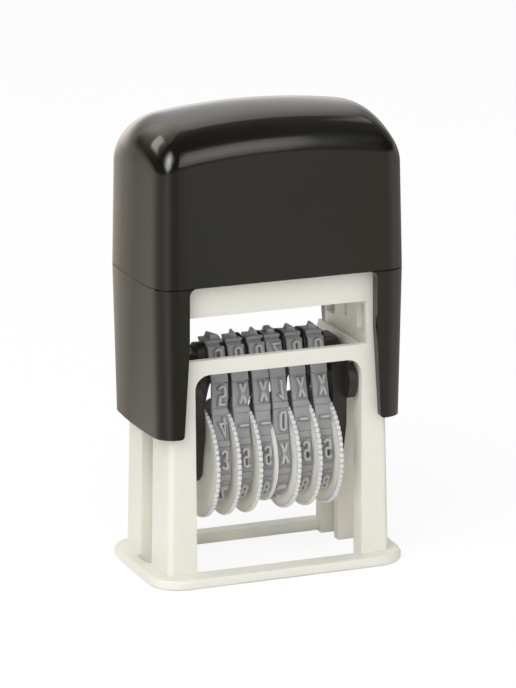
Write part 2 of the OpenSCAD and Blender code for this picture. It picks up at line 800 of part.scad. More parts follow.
// Side view of a cheek: a round foot on the axle, a straight neck, a round head.
module cheek_outline() {
    head_y = -0.6;
    head_z = type_z - 3;
    translate([axle_y, axle_z]) circle(cheek_foot_r, $fn = fine);
    translate([head_y, head_z]) circle(cheek_head_r, $fn = fine);
    polygon([
        [axle_y - cheek_foot_r, axle_z], [axle_y + cheek_foot_r, axle_z],
        [head_y + cheek_head_r, cheek_waist_z], [head_y + cheek_head_r, head_z],
        [head_y - cheek_head_r, head_z], [head_y - cheek_head_r, cheek_waist_z]
    ]);
}

// The ear that a finger turns the carriage by.
module ear_outline() {
    front = pivot_y - ear_reach;
    hull() {
        translate([front + 3, pivot_z + 0.5]) circle(3, $fn = 32);
        translate([front + 1.6, pivot_z - 1.7]) circle(1, $fn = 32);
        translate([front + 4.6, pivot_z - 2.7]) square([3, 6.2]);
    }
}

tenon_y = type_y - 2.1;
tenon_l = 3.6;
tenon_z = type_z - 2.6;
tenon_h = 3.4;
tenon_x = cheek_in_x + cheek_t - 0.9;

module cheek() {
    difference() {
        union() {
            side_view(cheek_in_x, cheek_out_x) cheek_outline();
            side_view(cheek_out_x - ear_in, cheek_out_x + ear_out) ear_outline();
            // Bearing boss round the pivot pin.
            translate([cheek_in_x, pivot_y, pivot_z]) rotate([0, 90, 0])
                cylinder(cheek_t + ear_out, r = pivot_r + 1.6, $fn = fine);
        }
        translate([cheek_in_x - over, axle_y, axle_z]) rotate([0, 90, 0])
            cylinder(cheek_t + 2 * over, r = axle_r + fit_gap, $fn = fine);
        translate([pin_inner_x - run_gap * 2, pivot_y, pivot_z]) rotate([0, 90, 0])
            cylinder(cheek_t + 2 * over, r = pivot_r + run_gap, $fn = fine);
        box_span(cheek_in_x - over, tenon_x + fit_gap, tenon_y - fit_gap, tenon_y + tenon_l + fit_gap,
            tenon_z - fit_gap, tenon_z + tenon_h + fit_gap);
    }
}

module right_cheek() {
    color(carriage_black) cheek();
}

module left_cheek() {
    color(carriage_black) mirror([1, 0, 0]) cheek();
}

// The bar that the bands turn over, with guide ribs between them.
module type_bridge() {
    depth = block_h + belt_t + 0.12;
    bar_low_z = type_z - bridge_drop;
    guide_t = 0.4;
    color(carriage_black) union() {
        intersection() {
            side_view(fit_gap - cheek_in_x, cheek_in_x - fit_gap) belt_area(depth);
            box_span(-cheek_out_x, cheek_out_x, -band_r, band_r, bar_low_z, type_top_z);
        }
        box_span(-tenon_x, tenon_x, tenon_y, tenon_y + tenon_l, tenon_z, tenon_z + tenon_h);
        for (i = [0:band_count - 2])
            intersection() {
                side_view((band_x(i) + band_w + band_x(i + 1) - guide_t) / 2,
                    (band_x(i) + band_w + band_x(i + 1) + guide_t) / 2) belt_area(block_h + 0.1);
                box_span(-cheek_out_x, cheek_out_x, -band_r, band_r, bar_low_z, type_top_z);
            }
    }
}

axle_end_x = cheek_out_x + ear_out;

module wheel_axle() {
    color(steel) side_view(-axle_end_x + 0.1, axle_end_x - 0.1)
        translate([axle_y, axle_z]) circle(axle_r, $fn = fine);
}

module axle_caps() {
    color(carriage_black) for (x = [-1, 1])
        translate([x * (cheek_out_x + ear_out / 2), axle_y, axle_z]) rotate([0, 90, 0]) difference() {
            translate([0, 0, 0.01 - ear_out / 2]) cylinder(ear_out - 0.02, r = axle_r + axle_cap_rim, $fn = fine);
            translate([0, 0, -over]) cylinder(2 * over, r = axle_r + 0.01, $fn = fine);
        }
}

// ---- Assembly ----

frame();
ink_tray();
ink_pad();
cap();
housing();
pivot_pins();
return_spring();
left_cheek();
right_cheek();
type_bridge();
wheel_axle();
axle_caps();
number_band(0);  // number_band_1
number_band(1);  // number_band_2
number_band(2);  // number_band_3
number_band(3);  // number_band_4
number_band(4);  // number_band_5
number_band(5);  // number_band_6
number_wheel(0);  // number_wheel_1
number_wheel(1);  // number_wheel_2
number_wheel(2);  // number_wheel_3
number_wheel(3);  // number_wheel_4
number_wheel(4);  // number_wheel_5
number_wheel(5);  // number_wheel_6
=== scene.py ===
import json
import math
import bmesh
import bpy
from mathutils import Matrix, Vector

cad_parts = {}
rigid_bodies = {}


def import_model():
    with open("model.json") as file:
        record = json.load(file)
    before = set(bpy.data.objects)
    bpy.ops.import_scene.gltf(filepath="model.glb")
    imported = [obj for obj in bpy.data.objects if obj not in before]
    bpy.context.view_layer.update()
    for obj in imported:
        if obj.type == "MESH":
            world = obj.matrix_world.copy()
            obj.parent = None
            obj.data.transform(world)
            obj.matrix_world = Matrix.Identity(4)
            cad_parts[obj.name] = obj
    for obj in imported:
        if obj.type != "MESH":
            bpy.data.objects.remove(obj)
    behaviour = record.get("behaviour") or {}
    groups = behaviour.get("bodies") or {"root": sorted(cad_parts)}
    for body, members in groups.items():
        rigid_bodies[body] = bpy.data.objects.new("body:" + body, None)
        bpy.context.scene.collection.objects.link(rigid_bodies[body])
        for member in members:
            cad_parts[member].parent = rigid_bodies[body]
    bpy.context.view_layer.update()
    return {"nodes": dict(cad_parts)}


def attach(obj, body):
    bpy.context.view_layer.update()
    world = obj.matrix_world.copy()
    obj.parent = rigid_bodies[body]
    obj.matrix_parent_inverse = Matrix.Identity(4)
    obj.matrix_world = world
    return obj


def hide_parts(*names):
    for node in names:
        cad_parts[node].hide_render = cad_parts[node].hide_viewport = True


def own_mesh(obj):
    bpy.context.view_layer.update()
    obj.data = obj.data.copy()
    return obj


# A self-inking stamp with six number bands. Sizes are in millimetres and turned into metres
# where a mesh is made, and angles are in degrees. X is the width, the front faces -Y, Z is up.
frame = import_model()
scene = bpy.context.scene
mm = 0.001
meshing = {"sharp": 35, "roundedSharp": 30, "roundFrom": 40, "samePoint": 0.002, "flat": 0.6}
print("frame loaded:", len(frame["nodes"]), "nodes")


# Meshes

def linkObject(name, data):
    piece = bpy.data.objects.new(name, data)
    scene.collection.objects.link(piece)
    return piece


def smoothMesh(mesh, sharpAngle):
    for face in mesh.polygons:
        face.use_smooth = True
    mesh.set_sharp_from_angle(angle=math.radians(sharpAngle))


def faceOutward(mesh):
    work = bmesh.new()
    work.from_mesh(mesh)
    bmesh.ops.recalc_face_normals(work, faces=work.faces)
    work.to_mesh(mesh)
    work.free()


def makeMesh(name, points, faces, sharpAngle=meshing["sharp"]):
    mesh = bpy.data.meshes.new(name)
    mesh.from_pydata([Vector(p) * mm for p in points], [], faces)
    faceOutward(mesh)
    smoothMesh(mesh, sharpAngle)
    return mesh


def bakeModifiers(piece, sharpAngle=meshing["sharp"]):
    bpy.context.view_layer.update()
    evaluated = piece.evaluated_get(bpy.context.evaluated_depsgraph_get())
    mesh = bpy.data.meshes.new_from_object(evaluated)
    mesh.name = piece.name
    piece.modifiers.clear()
    piece.data = mesh
    smoothMesh(mesh, sharpAngle)
    return piece


def roundEdges(piece, width, segments):
    bevel = piece.modifiers.new("roundEdges", "BEVEL")
    bevel.width = width * mm
    bevel.segments = segments
    bevel.limit_method = "ANGLE"
    bevel.angle_limit = math.radians(meshing["roundFrom"])
    bevel.use_clamp_overlap = True
    bakeModifiers(piece, meshing["roundedSharp"])
    weights = piece.modifiers.new("evenShading", "WEIGHTED_NORMAL")
    weights.keep_sharp = True


def mergedCopy(node, name):
    # A copy of a solid's mesh without its doubled points and its flat seams.
    mesh = frame["nodes"][node].data.copy()
    mesh.name = name
    work = bmesh.new()
    work.from_mesh(mesh)
    bmesh.ops.remove_doubles(work, verts=work.verts, dist=meshing["samePoint"] * mm)
    bmesh.ops.dissolve_limit(
        work, angle_limit=math.radians(meshing["flat"]), verts=work.verts, edges=work.edges)
    work.to_mesh(mesh)
    work.free()
    smoothMesh(mesh, meshing["roundedSharp"])
    return linkObject(name, mesh)


def finishPiece(piece, material, body, slotName, *nodes):
    piece.data.materials.clear()
    piece.data.materials.append(material)
    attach(piece, body)
    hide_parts(*nodes)


def loft(rings, capped=True):
    # Points and faces of a skin over rings of equally many points.
    count = len(rings[0])
    points = [p for ring in rings for p in ring]
    faces = [
        (j * count + i, j * count + (i + 1) % count,
         (j + 1) * count + (i + 1) % count, (j + 1) * count + i)
        for j in range(len(rings) - 1) for i in range(count)]
    if capped:
        faces.append(tuple(reversed(range(count))))
        faces.append(tuple(range(len(points) - count, len(points))))
    return points, faces


def closedLoft(rings):
    # The same with the last ring joined to the first.
    count = len(rings) * len(rings[0])
    points, faces = loft(rings + rings[:1], False)
    return points[:count], [tuple(i % count for i in face) for face in faces]


def arcPoints(x, y, rx, ry, start, end, steps):
    turns = [math.radians(start + (end - start) * k / steps) for k in range(steps + 1)]
    return [(x + rx * math.cos(t), y + ry * math.sin(t)) for t in turns]


def prismY(outline, y1, y2):
    return loft([[(x, y, z) for x, z in outline] for y in (y1, y2)])


def prismX(outline, x1, x2):
    return loft([[(x, y, z) for y, z in outline] for x in (x1, x2)])


def cylinderX(x1, x2, y, z, radius):
    steps = 64
    turns = [math.tau * k / steps for k in range(steps)]
    return loft([[(x, y + radius * math.cos(t), z + radius * math.sin(t)) for t in turns]
                 for x in (x1, x2)])


def combine(piece, shape, operation):
    tool = linkObject("tool", makeMesh("tool", *shape))
    cut = piece.modifiers.new("cut", "BOOLEAN")
    cut.object = tool
    cut.operation = operation
    cut.solver = "EXACT"
    bakeModifiers(piece)
    bpy.data.objects.remove(tool)


# Materials

def addNode(tree, kind, values=None, **settings):
    made = tree.nodes.new(kind)
    for key, value in settings.items():
        setattr(made, key, value)
    for key, value in (values or {}).items():
        made.inputs[key].default_value = value
    return made


def surfaceMaterial(name, look):
    # Two mottled tones, with specks over them or, on type, a painted highlight and wear on the face
    # and painted shade at the foot, and noise in gloss and bump.
    material = bpy.data.materials.new(name)
    material.use_nodes = True
    tree = material.node_tree
    link = tree.links.new
    shader = tree.nodes["Principled BSDF"]
    for key, value in look["fixed"].items():
        shader.inputs[key].default_value = value
    place = addNode(tree, "ShaderNodeTexCoord").outputs["Object"]

    def noise(scale, detail=3, stretch=(1, 1, 1)):
        mapping = addNode(tree, "ShaderNodeMapping", {"Scale": stretch})
        made = addNode(tree, "ShaderNodeTexNoise", {"Scale": scale, "Detail": detail})
        link(place, mapping.inputs["Vector"])
        link(mapping.outputs["Vector"], made.inputs["Vector"])
        return made.outputs["Fac"]

    def spread(source, low, high, start=0.3, end=0.7):
        made = addNode(tree, "ShaderNodeMapRange", {
            "From Min": start, "From Max": end, "To Min": low, "To Max": high})
        link(source, made.inputs["Value"])
        return made.outputs["Result"]

    def blend(factor, first, second):
        made = addNode(tree, "ShaderNodeMix", data_type="RGBA")
        link(factor, made.inputs["Factor"])
        for socket, colour in ((made.inputs["A"], first), (made.inputs["B"], second)):
            if isinstance(colour, tuple):
                socket.default_value = (*colour, 1)
            else:
                link(colour, socket)
        return made.outputs["Result"]

    colour = blend(spread(noise(look["mottleScale"]), 0, 1), look["colour"], look["mottle"])
    if "speck" in look:
        specks = spread(noise(look["speckScale"], detail=1), 0, 1, *look["speckRange"])
        colour = blend(specks, colour, look["speck"])
    # Type is lighter on its face, as painted highlight and wear, and darker at its foot, as painted
    # shade.
    if "raised" in look:
        height = addNode(tree, "ShaderNodeAttribute", attribute_name="raised").outputs["Fac"]
        colour = blend(spread(height, 1, 0, -1, 0), colour, look["sunkShade"])
        colour = blend(spread(height, 0, 1, 0, 1), colour, look["raised"])
    link(colour, shader.inputs["Base Color"])
    link(spread(noise(look["roughScale"]), *look["roughness"]), shader.inputs["Roughness"])
    bump = addNode(tree, "ShaderNodeBump", {
        "Strength": look["bumpStrength"], "Distance": look["bumpHeight"] * mm})
    grain = noise(look["bumpScale"], detail=2, stretch=look.get("stretch", (1, 1, 1)))
    link(grain, bump.inputs["Height"])
    link(bump.outputs["Normal"], shader.inputs["Normal"])
    return material


looks = {
    "coverGloss": {
        "colour": (0.0095, 0.0083, 0.0056), "mottle": (0.0125, 0.011, 0.0078), "mottleScale": 60,
        "roughness": (0.05, 0.09), "roughScale": 120,
        "bumpScale": 260, "bumpStrength": 0.12, "bumpHeight": 0.02,
        "fixed": {"IOR": 1.5}},
    "framePlastic": {
        "colour": (0.86, 0.845, 0.765), "mottle": (0.84, 0.82, 0.74), "mottleScale": 90,
        "roughness": (0.34, 0.44), "roughScale": 300,
        "bumpScale": 1400, "bumpStrength": 0.15, "bumpHeight": 0.02,
        "fixed": {"IOR": 1.5, "Subsurface Weight": 0.35, "Subsurface Scale": 1.0,
                  "Subsurface Radius": (0.002, 0.0017, 0.0011)}},
    "wheelPlastic": {
        "colour": (0.97, 0.93, 0.83), "mottle": (0.95, 0.905, 0.79), "mottleScale": 160,
        "roughness": (0.38, 0.5), "roughScale": 400,
        "bumpScale": 1400, "bumpStrength": 0.15, "bumpHeight": 0.02,
        "fixed": {"IOR": 1.5, "Subsurface Weight": 0.6, "Subsurface Scale": 1.0,
                  "Subsurface Radius": (0.003, 0.0025, 0.0015)}},
    "carriagePlastic": {
        "colour": (0.022, 0.019, 0.016), "mottle": (0.03, 0.026, 0.022), "mottleScale": 300,
        "speck": (0.07, 0.066, 0.06), "speckScale": 2600, "speckRange": (0.66, 0.74),
        "roughness": (0.36, 0.5), "roughScale": 500,
        "bumpScale": 1800, "bumpStrength": 0.25, "bumpHeight": 0.03,
        "fixed": {"IOR": 1.5}},
    "bandRubber": {
        "colour": (0.355, 0.355, 0.365), "mottle": (0.315, 0.315, 0.32), "mottleScale": 350,
        # The type's face is lighter, as painted highlight and wear, and its foot darker, as painted
        # shade.
        "raised": (0.49, 0.49, 0.49), "sunkShade": (0.21, 0.21, 0.205),
        "roughness": (0.5, 0.68), "roughScale": 700,
        "bumpScale": 2200, "bumpStrength": 0.2, "bumpHeight": 0.02,
        "fixed": {"IOR": 1.48, "Sheen Weight": 0.05}},
    "inkFelt": {
        "colour": (0.012, 0.012, 0.02), "mottle": (0.02, 0.02, 0.034), "mottleScale": 900,
        "roughness": (0.75, 0.95), "roughScale": 900,
        "bumpScale": 3500, "bumpStrength": 0.6, "bumpHeight": 0.08,
        "fixed": {"IOR": 1.4, "Sheen Weight": 0.3}},
    "steel": {
        "colour": (0.55, 0.55, 0.56), "mottle": (0.47, 0.47, 0.48), "mottleScale": 300,
        "roughness": (0.22, 0.34), "roughScale": 700,
        "bumpScale": 900, "bumpStrength": 0.2, "bumpHeight": 0.01, "stretch": (0.15, 1, 1),
        "fixed": {"Metallic": 1.0}},
}
materials = {name: surfaceMaterial(name, look) for name, look in looks.items()}
print("materials made:", len(materials))


# Geometry Nodes

def newTree(name, inputs):
    tree = bpy.data.node_groups.new(name, "GeometryNodeTree")
    tree.interface.new_socket("Geometry", in_out="INPUT", socket_type="NodeSocketGeometry")
    for label, kind in inputs:
        tree.interface.new_socket(label, in_out="INPUT", socket_type="NodeSocket" + kind)
    tree.interface.new_socket("Geometry", in_out="OUTPUT", socket_type="NodeSocketGeometry")
    return tree, tree.nodes.new("NodeGroupInput").outputs, tree.nodes.new("NodeGroupOutput").inputs


def endTree(tree, source, materialSocket, output):
    real = tree.nodes.new("GeometryNodeRealizeInstances")
    paint = tree.nodes.new("GeometryNodeSetMaterial")
    tree.links.new(source, real.inputs["Geometry"])
    tree.links.new(real.outputs["Geometry"], paint.inputs["Geometry"])
    tree.links.new(materialSocket, paint.inputs["Material"])
    tree.links.new(paint.outputs["Geometry"], output["Geometry"])


def runTree(name, mesh, tree, values, sharpAngle=meshing["sharp"]):
    # Grows a piece from a mesh and keeps what comes out as a plain mesh.
    piece = linkObject(name, mesh)
    grow = piece.modifiers.new("grow", "NODES")
    grow.node_group = tree
    for item in tree.interface.items_tree:
        if item.in_out == "INPUT" and item.name in values:
            grow[item.identifier] = values[item.name]
    return bakeModifiers(piece, sharpAngle)


# Cover: cap and housing

cover = {
    "width": 48, "depth": 26.56, "bow": 0.8, "cornerR": 4, "leastR": 0.8, "crownLeastR": 1.4,
    "endSteps": 16, "cornerSteps": 14, "sideSteps": 24, "gapSteps": 8,
    # Rings of the rounding and of the crown.
    "outerSteps": (18, 12), "innerSteps": (6, 2),
    "seamZ": 54.3, "seamBevel": 0.14, "crownZ": 83.8, "crownRx": 113.6, "crownRy": 27.2,
    "edgeEndR": 6.8, "edgeFrontR": 4.6, "innerTighter": 1.5, "draft": 0.35, "wall": 1.33,
    "fit": 0.05, "sleeveWall": 0.75, "sleeveDraft": 0.3, "sleeveTop": 71, "sleeveFrom": 52.3,
    "legZ": 27.3, "legDraft": 0.5, "legWall": 1.35, "gapX": 17.6, "gapFlare": 0.95, "flareZ": 44,
    "archZ": 58.2, "filletR": 1.3, "legCornerR": 0.7, "bossR": 3.9, "bossX": 21.4, "pinX": 22.65,
    "pinR": 2.41, "pivotY": 0.6, "pivotZ": 33, "overlap": 0.3, "overcut": 1, "edge": 0.22,
}


def planOutline(width, depth, bow, radius):
    # A box with bowed ends, anticlockwise. Each point is (x, y, how far it faces the end).
    endR = (depth * depth / 4 + bow * bow) / (2 * bow)
    endX = width / 2 - endR
    cornerX = endX + math.sqrt((endR - radius) ** 2 - (depth / 2 - radius) ** 2)
    cornerY = depth / 2 - radius
    turn = math.asin(cornerY / (endR - radius))
    sideSteps = cover["sideSteps"]

    def arc(x, y, r, start, end, steps):
        turns = [start + (end - start) * k / steps for k in range(steps + 1)]
        return [(x + r * math.cos(t), y + r * math.sin(t), math.cos(t) ** 2) for t in turns]

    half = arc(endX, 0, endR, -turn, turn, cover["endSteps"])
    half += arc(cornerX, cornerY, radius, turn, math.pi / 2, cover["cornerSteps"])[1:]
    half += [(cornerX - 2 * cornerX * k / sideSteps, depth / 2, 0) for k in range(1, sideSteps)]
    half += arc(-cornerX, cornerY, radius, math.pi / 2, math.pi - turn, cover["cornerSteps"])[:-1]
    return half + [(-x, -y, share) for x, y, share in half]


def coverRing(inset, z):
    plan = planOutline(
        cover["width"] - 2 * inset, cover["depth"] - 2 * inset, cover["bow"],
        max(cover["cornerR"] - inset, cover["leastR"]))
    return [(x, y, z) for x, y, share in plan]


def crownHeight(x, y):
    return cover["crownZ"] - x * x / (2 * cover["crownRx"]) - y * y / (2 * cover["crownRy"])


def shoulderRing(turn, inset):
    # One ring of the rounding between the walls, at 0, and the crown, at a quarter turn.
    endR = cover["edgeEndR"] - inset * cover["innerTighter"]
    frontR = cover["edgeFrontR"] - inset * cover["innerTighter"]
    side = cover["draft"] + inset
    inward = 1 - math.cos(turn)
    plan = planOutline(
        cover["width"] - 2 * (side + endR * inward),
        cover["depth"] - 2 * (side + frontR * inward), cover["bow"],
        max(cover["cornerR"] - inset - frontR * inward, cover["crownLeastR"]))
    ring = []
    for x, y, share in plan:
        drop = (frontR + (endR - frontR) * share) * (1 - math.sin(turn))
        ring.append((x, y, crownHeight(x, y) - inset - drop))
    return ring


def capSkin(inset, shoulderSteps, crownSteps):
    rings = [shoulderRing(math.pi / 2 * k / shoulderSteps, inset)
             for k in range(shoulderSteps + 1)]
    edge = rings[-1]
    for k in range(1, crownSteps + 1):
        s = 1 - k / (crownSteps + 1)
        rings.append([(s * x, s * y, crownHeight(s * x, s * y) - inset) for x, y, z in edge])
    return rings


def buildCap():
    seam, bevel, wall = cover["seamZ"], cover["seamBevel"], cover["wall"]
    inner = list(reversed(capSkin(wall, *cover["innerSteps"])))
    outer = capSkin(0, *cover["outerSteps"])
    lip = [coverRing(wall, seam), coverRing(bevel, seam), coverRing(0, seam + bevel)]
    rings = inner + lip + outer
    points, faces = loft(rings, False)
    count = len(rings[0])
    last = len(points) - count
    points += [(0, 0, cover["crownZ"] - wall), (0, 0, cover["crownZ"])]
    faces += [(k, (k + 1) % count, len(points) - 2) for k in range(count)]
    faces += [(last + k, last + (k + 1) % count, len(points) - 1) for k in range(count)]
    piece = linkObject("capShell", makeMesh("capShell", points, faces))
    finishPiece(piece, materials["coverGloss"], "cover", "cover_gloss", "cap")


def legGapOutline():
    # The gap between the legs (x, z), rounded at the legs' feet and under the seam.
    corner, fillet, steps = cover["legCornerR"], cover["filletR"], cover["gapSteps"]
    footX = cover["gapX"] + cover["gapFlare"] + corner
    topX = cover["gapX"] - fillet
    right = [(footX, cover["legZ"] - cover["overcut"])]
    right += arcPoints(footX, cover["legZ"] + corner, corner, corner, 270, 180, steps)
    right.append((cover["gapX"], cover["flareZ"]))
    right += arcPoints(topX, cover["seamZ"] - fillet, fillet, fillet, 0, 90, steps)
    right.append((topX, cover["archZ"]))
    return right + [(-x, z) for x, z in reversed(right)]


def buildHousing():
    seam, bevel, draft = cover["seamZ"], cover["seamBevel"], cover["sleeveDraft"]
    over, top = cover["overcut"], cover["sleeveTop"]
    sleeve = cover["wall"] + cover["fit"]
    bore = sleeve + cover["sleeveWall"]
    pivot = cover["pivotY"], cover["pivotZ"]
    piece = linkObject("housingShell", makeMesh("housingShell", *loft([
        coverRing(cover["legDraft"], cover["legZ"]), coverRing(0, seam - bevel),
        coverRing(bevel, seam)])))
    combine(piece, loft([
        coverRing(sleeve, cover["sleeveFrom"]), coverRing(sleeve + draft, top)]), "UNION")
    combine(piece, loft([
        coverRing(cover["legDraft"] + cover["legWall"], cover["legZ"] - over),
        coverRing(bore, seam), coverRing(bore + draft, top + over)]), "DIFFERENCE")
    combine(piece, prismY(legGapOutline(), -cover["depth"], cover["depth"]), "DIFFERENCE")
    for side in (-1, 1):
        ends = sorted((side * cover["bossX"], side * (cover["pinX"] + cover["overlap"])))
        combine(piece, cylinderX(*ends, *pivot, cover["bossR"]), "UNION")
    combine(piece, cylinderX(-cover["pinX"], cover["pinX"], *pivot, cover["pinR"]), "DIFFERENCE")
    roundEdges(piece, cover["edge"], 2)
    finishPiece(piece, materials["coverGloss"], "cover", "cover_gloss", "housing")


buildCap()
buildHousing()
print("cover built")


# Frame, ink tray, cheeks and small parts

cheek = {
    # Cut off the heads, which are flat on top and fall away at the front (y, z).
    "headCut": [(-7.5, 34), (-6.1, 34.4), (-5.6, 36.1), (-4.7, 37.6), (-3.5, 38.8),
                (-2.1, 39.65), (-0.8, 39.95), (7, 39.95), (7, 43), (-7.5, 43)],
    "reach": 20,
}

# The last two are the width of the rounded edges and the faces across them.
for node, name, look, slotName, body, edge, segments in (
        ("frame", "frameShell", "framePlastic", "frame_plastic", "base", 0.28, 3),
        ("ink_tray", "inkTray", "carriagePlastic", "carriage_plastic", "base", 0.2, 2),
        ("ink_pad", "inkPad", "inkFelt", "ink_felt", "base", 0.15, 2),
        ("pivot_pins", "pivotPins", "steel", "steel", "cover", 0.2, 2),
        ("left_cheek", "leftCheek", "carriagePlastic", "carriage_plastic", "carriage", 0.25, 2),
        ("right_cheek", "rightCheek", "carriagePlastic", "carriage_plastic", "carriage", 0.25, 2),
        ("type_bridge", "typeBridge", "carriagePlastic", "carriage_plastic", "carriage", 0.06, 2),
        ("wheel_axle", "wheelAxle", "steel", "steel", "carriage", 0.15, 2),
        ("axle_caps", "axleCaps", "carriagePlastic", "carriage_plastic", "carriage", 0.12, 2)):
    piece = mergedCopy(node, name)
    if "cheek" in node:
        combine(piece, prismX(cheek["headCut"], -cheek["reach"], cheek["reach"]), "DIFFERENCE")
    roundEdges(piece, edge, segments)
    finishPiece(piece, materials[look], body, slotName, node)
print("frame and carriage dressed")


# Number wheels

wheel = {
    "count": 6, "pitch": 4.04, "width": 3.94, "middleGap": 0.05, "bandGap": 0.07, "bandW": 2.87,
    "axleY": -0.95, "axleZ": 19.9, "boreR": 1.56, "steps": 132, "discR": 10.5, "discT": 0.7,
    "drumR": 6.55, "rimR": 7.35, "middleRimR": 8.75, "rimT": 0.23, "rimBevel": (0.05, 0.06),
    "recess": 0.1, "recessIn": (3.4, 3.55), "recessOut": (8.7, 8.9),
    # Half a tooth's outline, as shares of a tooth's pitch and height.
    "teeth": 63, "toothH": 0.5, "toothHalf": [
        (0.5, -0.06), (0.49, 0.1), (0.46, 0.38), (0.4, 0.64), (0.29, 0.86), (0.13, 0.98), (0, 1)],
    # How much lower a tooth is at these distances from its face, above its foot.
    "toothEnds": ((0, 0.04), (0.06, 0), (0.62, 0.02), (0.7, 0.1)), "toothFoot": 0.2,
    "toothNarrows": 0.6, "sharp": 40, "toothSharp": 50,
}


def stepsOut(index):
    # How many wheels lie between this one and the middle.
    half = wheel["count"] // 2
    return half - index - 1 if index < half else index - half


def bandLeft(index):
    near = (wheel["middleGap"] + stepsOut(index) * wheel["pitch"] + wheel["rimT"]
            + wheel["bandGap"])
    return -near - wheel["bandW"] if index < wheel["count"] // 2 else near


def wheelSide(index):
    # Outer face of the toothed disc, and the direction from it across the wheel.
    x = bandLeft(index)
    if index < wheel["count"] // 2:
        return x - wheel["bandGap"] - wheel["discT"], 1
    return x + wheel["bandW"] + wheel["bandGap"] + wheel["discT"], -1


def wheelBody(name, faceX, way, rim):
    # The profile goes from the bore over the toothed disc, the drum and the plain rim.
    root = wheel["discR"] - wheel["toothH"]
    disc, width, drum, dip = (wheel[key] for key in ("discT", "width", "drumR", "recess"))
    (nearIn, farIn), (nearOut, farOut) = wheel["recessIn"], wheel["recessOut"]
    inset, drop = wheel["rimBevel"]
    rimX = width - wheel["rimT"]
    profile = [
        (0, wheel["boreR"]), (0, nearIn), (dip, farIn), (dip, nearOut), (0, farOut), (0, root),
        (disc, root), (disc, drum), (rimX, drum), (rimX, rim - drop), (rimX + inset, rim),
        (width - inset, rim), (width, rim - drop), (width, wheel["boreR"])]
    turns = [math.tau * k / wheel["steps"] for k in range(wheel["steps"])]
    return makeMesh(name, *closedLoft([
        [(faceX + way * u, wheel["axleY"] + r * math.cos(t), wheel["axleZ"] + r * math.sin(t))
         for t in turns] for u, r in profile]), wheel["sharp"])


def toothMesh():
    # One rounded tooth, standing up from the disc's root and lying along X.
    half = wheel["toothHalf"]
    root = wheel["discR"] - wheel["toothH"]
    rings = []
    for u, shrink in wheel["toothEnds"]:
        ring = []
        for a, h in half + [(-a, h) for a, h in reversed(half[:-1])]:
            r = root + wheel["toothH"] * h - (shrink if h > wheel["toothFoot"] else 0)
            t = a * math.tau / wheel["teeth"] * (1 - shrink * wheel["toothNarrows"])
            ring.append((u, r * math.sin(t), r * math.cos(t)))
        rings.append(ring)
    return makeMesh("tooth", *loft(rings), wheel["toothSharp"])


def toothTree():
    tree, given, output = newTree("toothRing", [
        ("Teeth", "Int"), ("Tooth", "Object"), ("Axle", "Vector"), ("Way", "Float"),
        ("Material", "Material")])
    link = tree.links.new
    index = tree.nodes.new("GeometryNodeInputIndex")
    share = addNode(tree, "ShaderNodeMath", operation="DIVIDE")
    turn = addNode(tree, "ShaderNodeMath", {1: math.tau}, operation="MULTIPLY")
    lean = tree.nodes.new("ShaderNodeCombineXYZ")
    sides = addNode(tree, "ShaderNodeCombineXYZ", {"Y": 1.0, "Z": 1.0})
    points = tree.nodes.new("GeometryNodePoints")
    tooth = tree.nodes.new("GeometryNodeObjectInfo")
    place = tree.nodes.new("GeometryNodeInstanceOnPoints")
    join = tree.nodes.new("GeometryNodeJoinGeometry")
    link(index.outputs["Index"], share.inputs[0])
    link(given["Teeth"], share.inputs[1])
    link(share.outputs[0], turn.inputs[0])
    link(turn.outputs[0], lean.inputs["X"])
    link(given["Way"], sides.inputs["X"])
    link(given["Teeth"], points.inputs["Count"])
    link(given["Axle"], points.inputs["Position"])
    link(given["Tooth"], tooth.inputs["Object"])
    link(points.outputs["Points"], place.inputs["Points"])
    link(tooth.outputs["Geometry"], place.inputs["Instance"])
    link(lean.outputs[0], place.inputs["Rotation"])
    link(sides.outputs[0], place.inputs["Scale"])
    link(given["Geometry"], join.inputs["Geometry"])
    link(place.outputs["Instances"], join.inputs["Geometry"])
    endTree(tree, join.outputs["Geometry"], given["Material"], output)
    return tree


def buildWheels():
    tooth = linkObject("tooth", toothMesh())
    tree = toothTree()
    for index in range(wheel["count"]):
        name = f"numberWheel{index + 1}"
        faceX, way = wheelSide(index)
        rim = wheel["rimR" if stepsOut(index) else "middleRimR"]
        piece = runTree(name, wheelBody(name, faceX, way, rim), tree, {
            "Teeth": wheel["teeth"], "Tooth": tooth, "Way": float(way),
            "Axle": (faceX * mm, wheel["axleY"] * mm, wheel["axleZ"] * mm),
            "Material": materials["wheelPlastic"]}, wheel["sharp"])
        if way < 0:
            # These teeth are mirrored, which turns their faces inside out.
            faceOutward(piece.data)
        finishPiece(piece, materials["wheelPlastic"], f"wheel_{index + 1}", "wheel_plastic",
                    f"number_wheel_{index + 1}")
    bpy.data.objects.remove(tooth)


buildWheels()
print("wheels built")


# Number bands

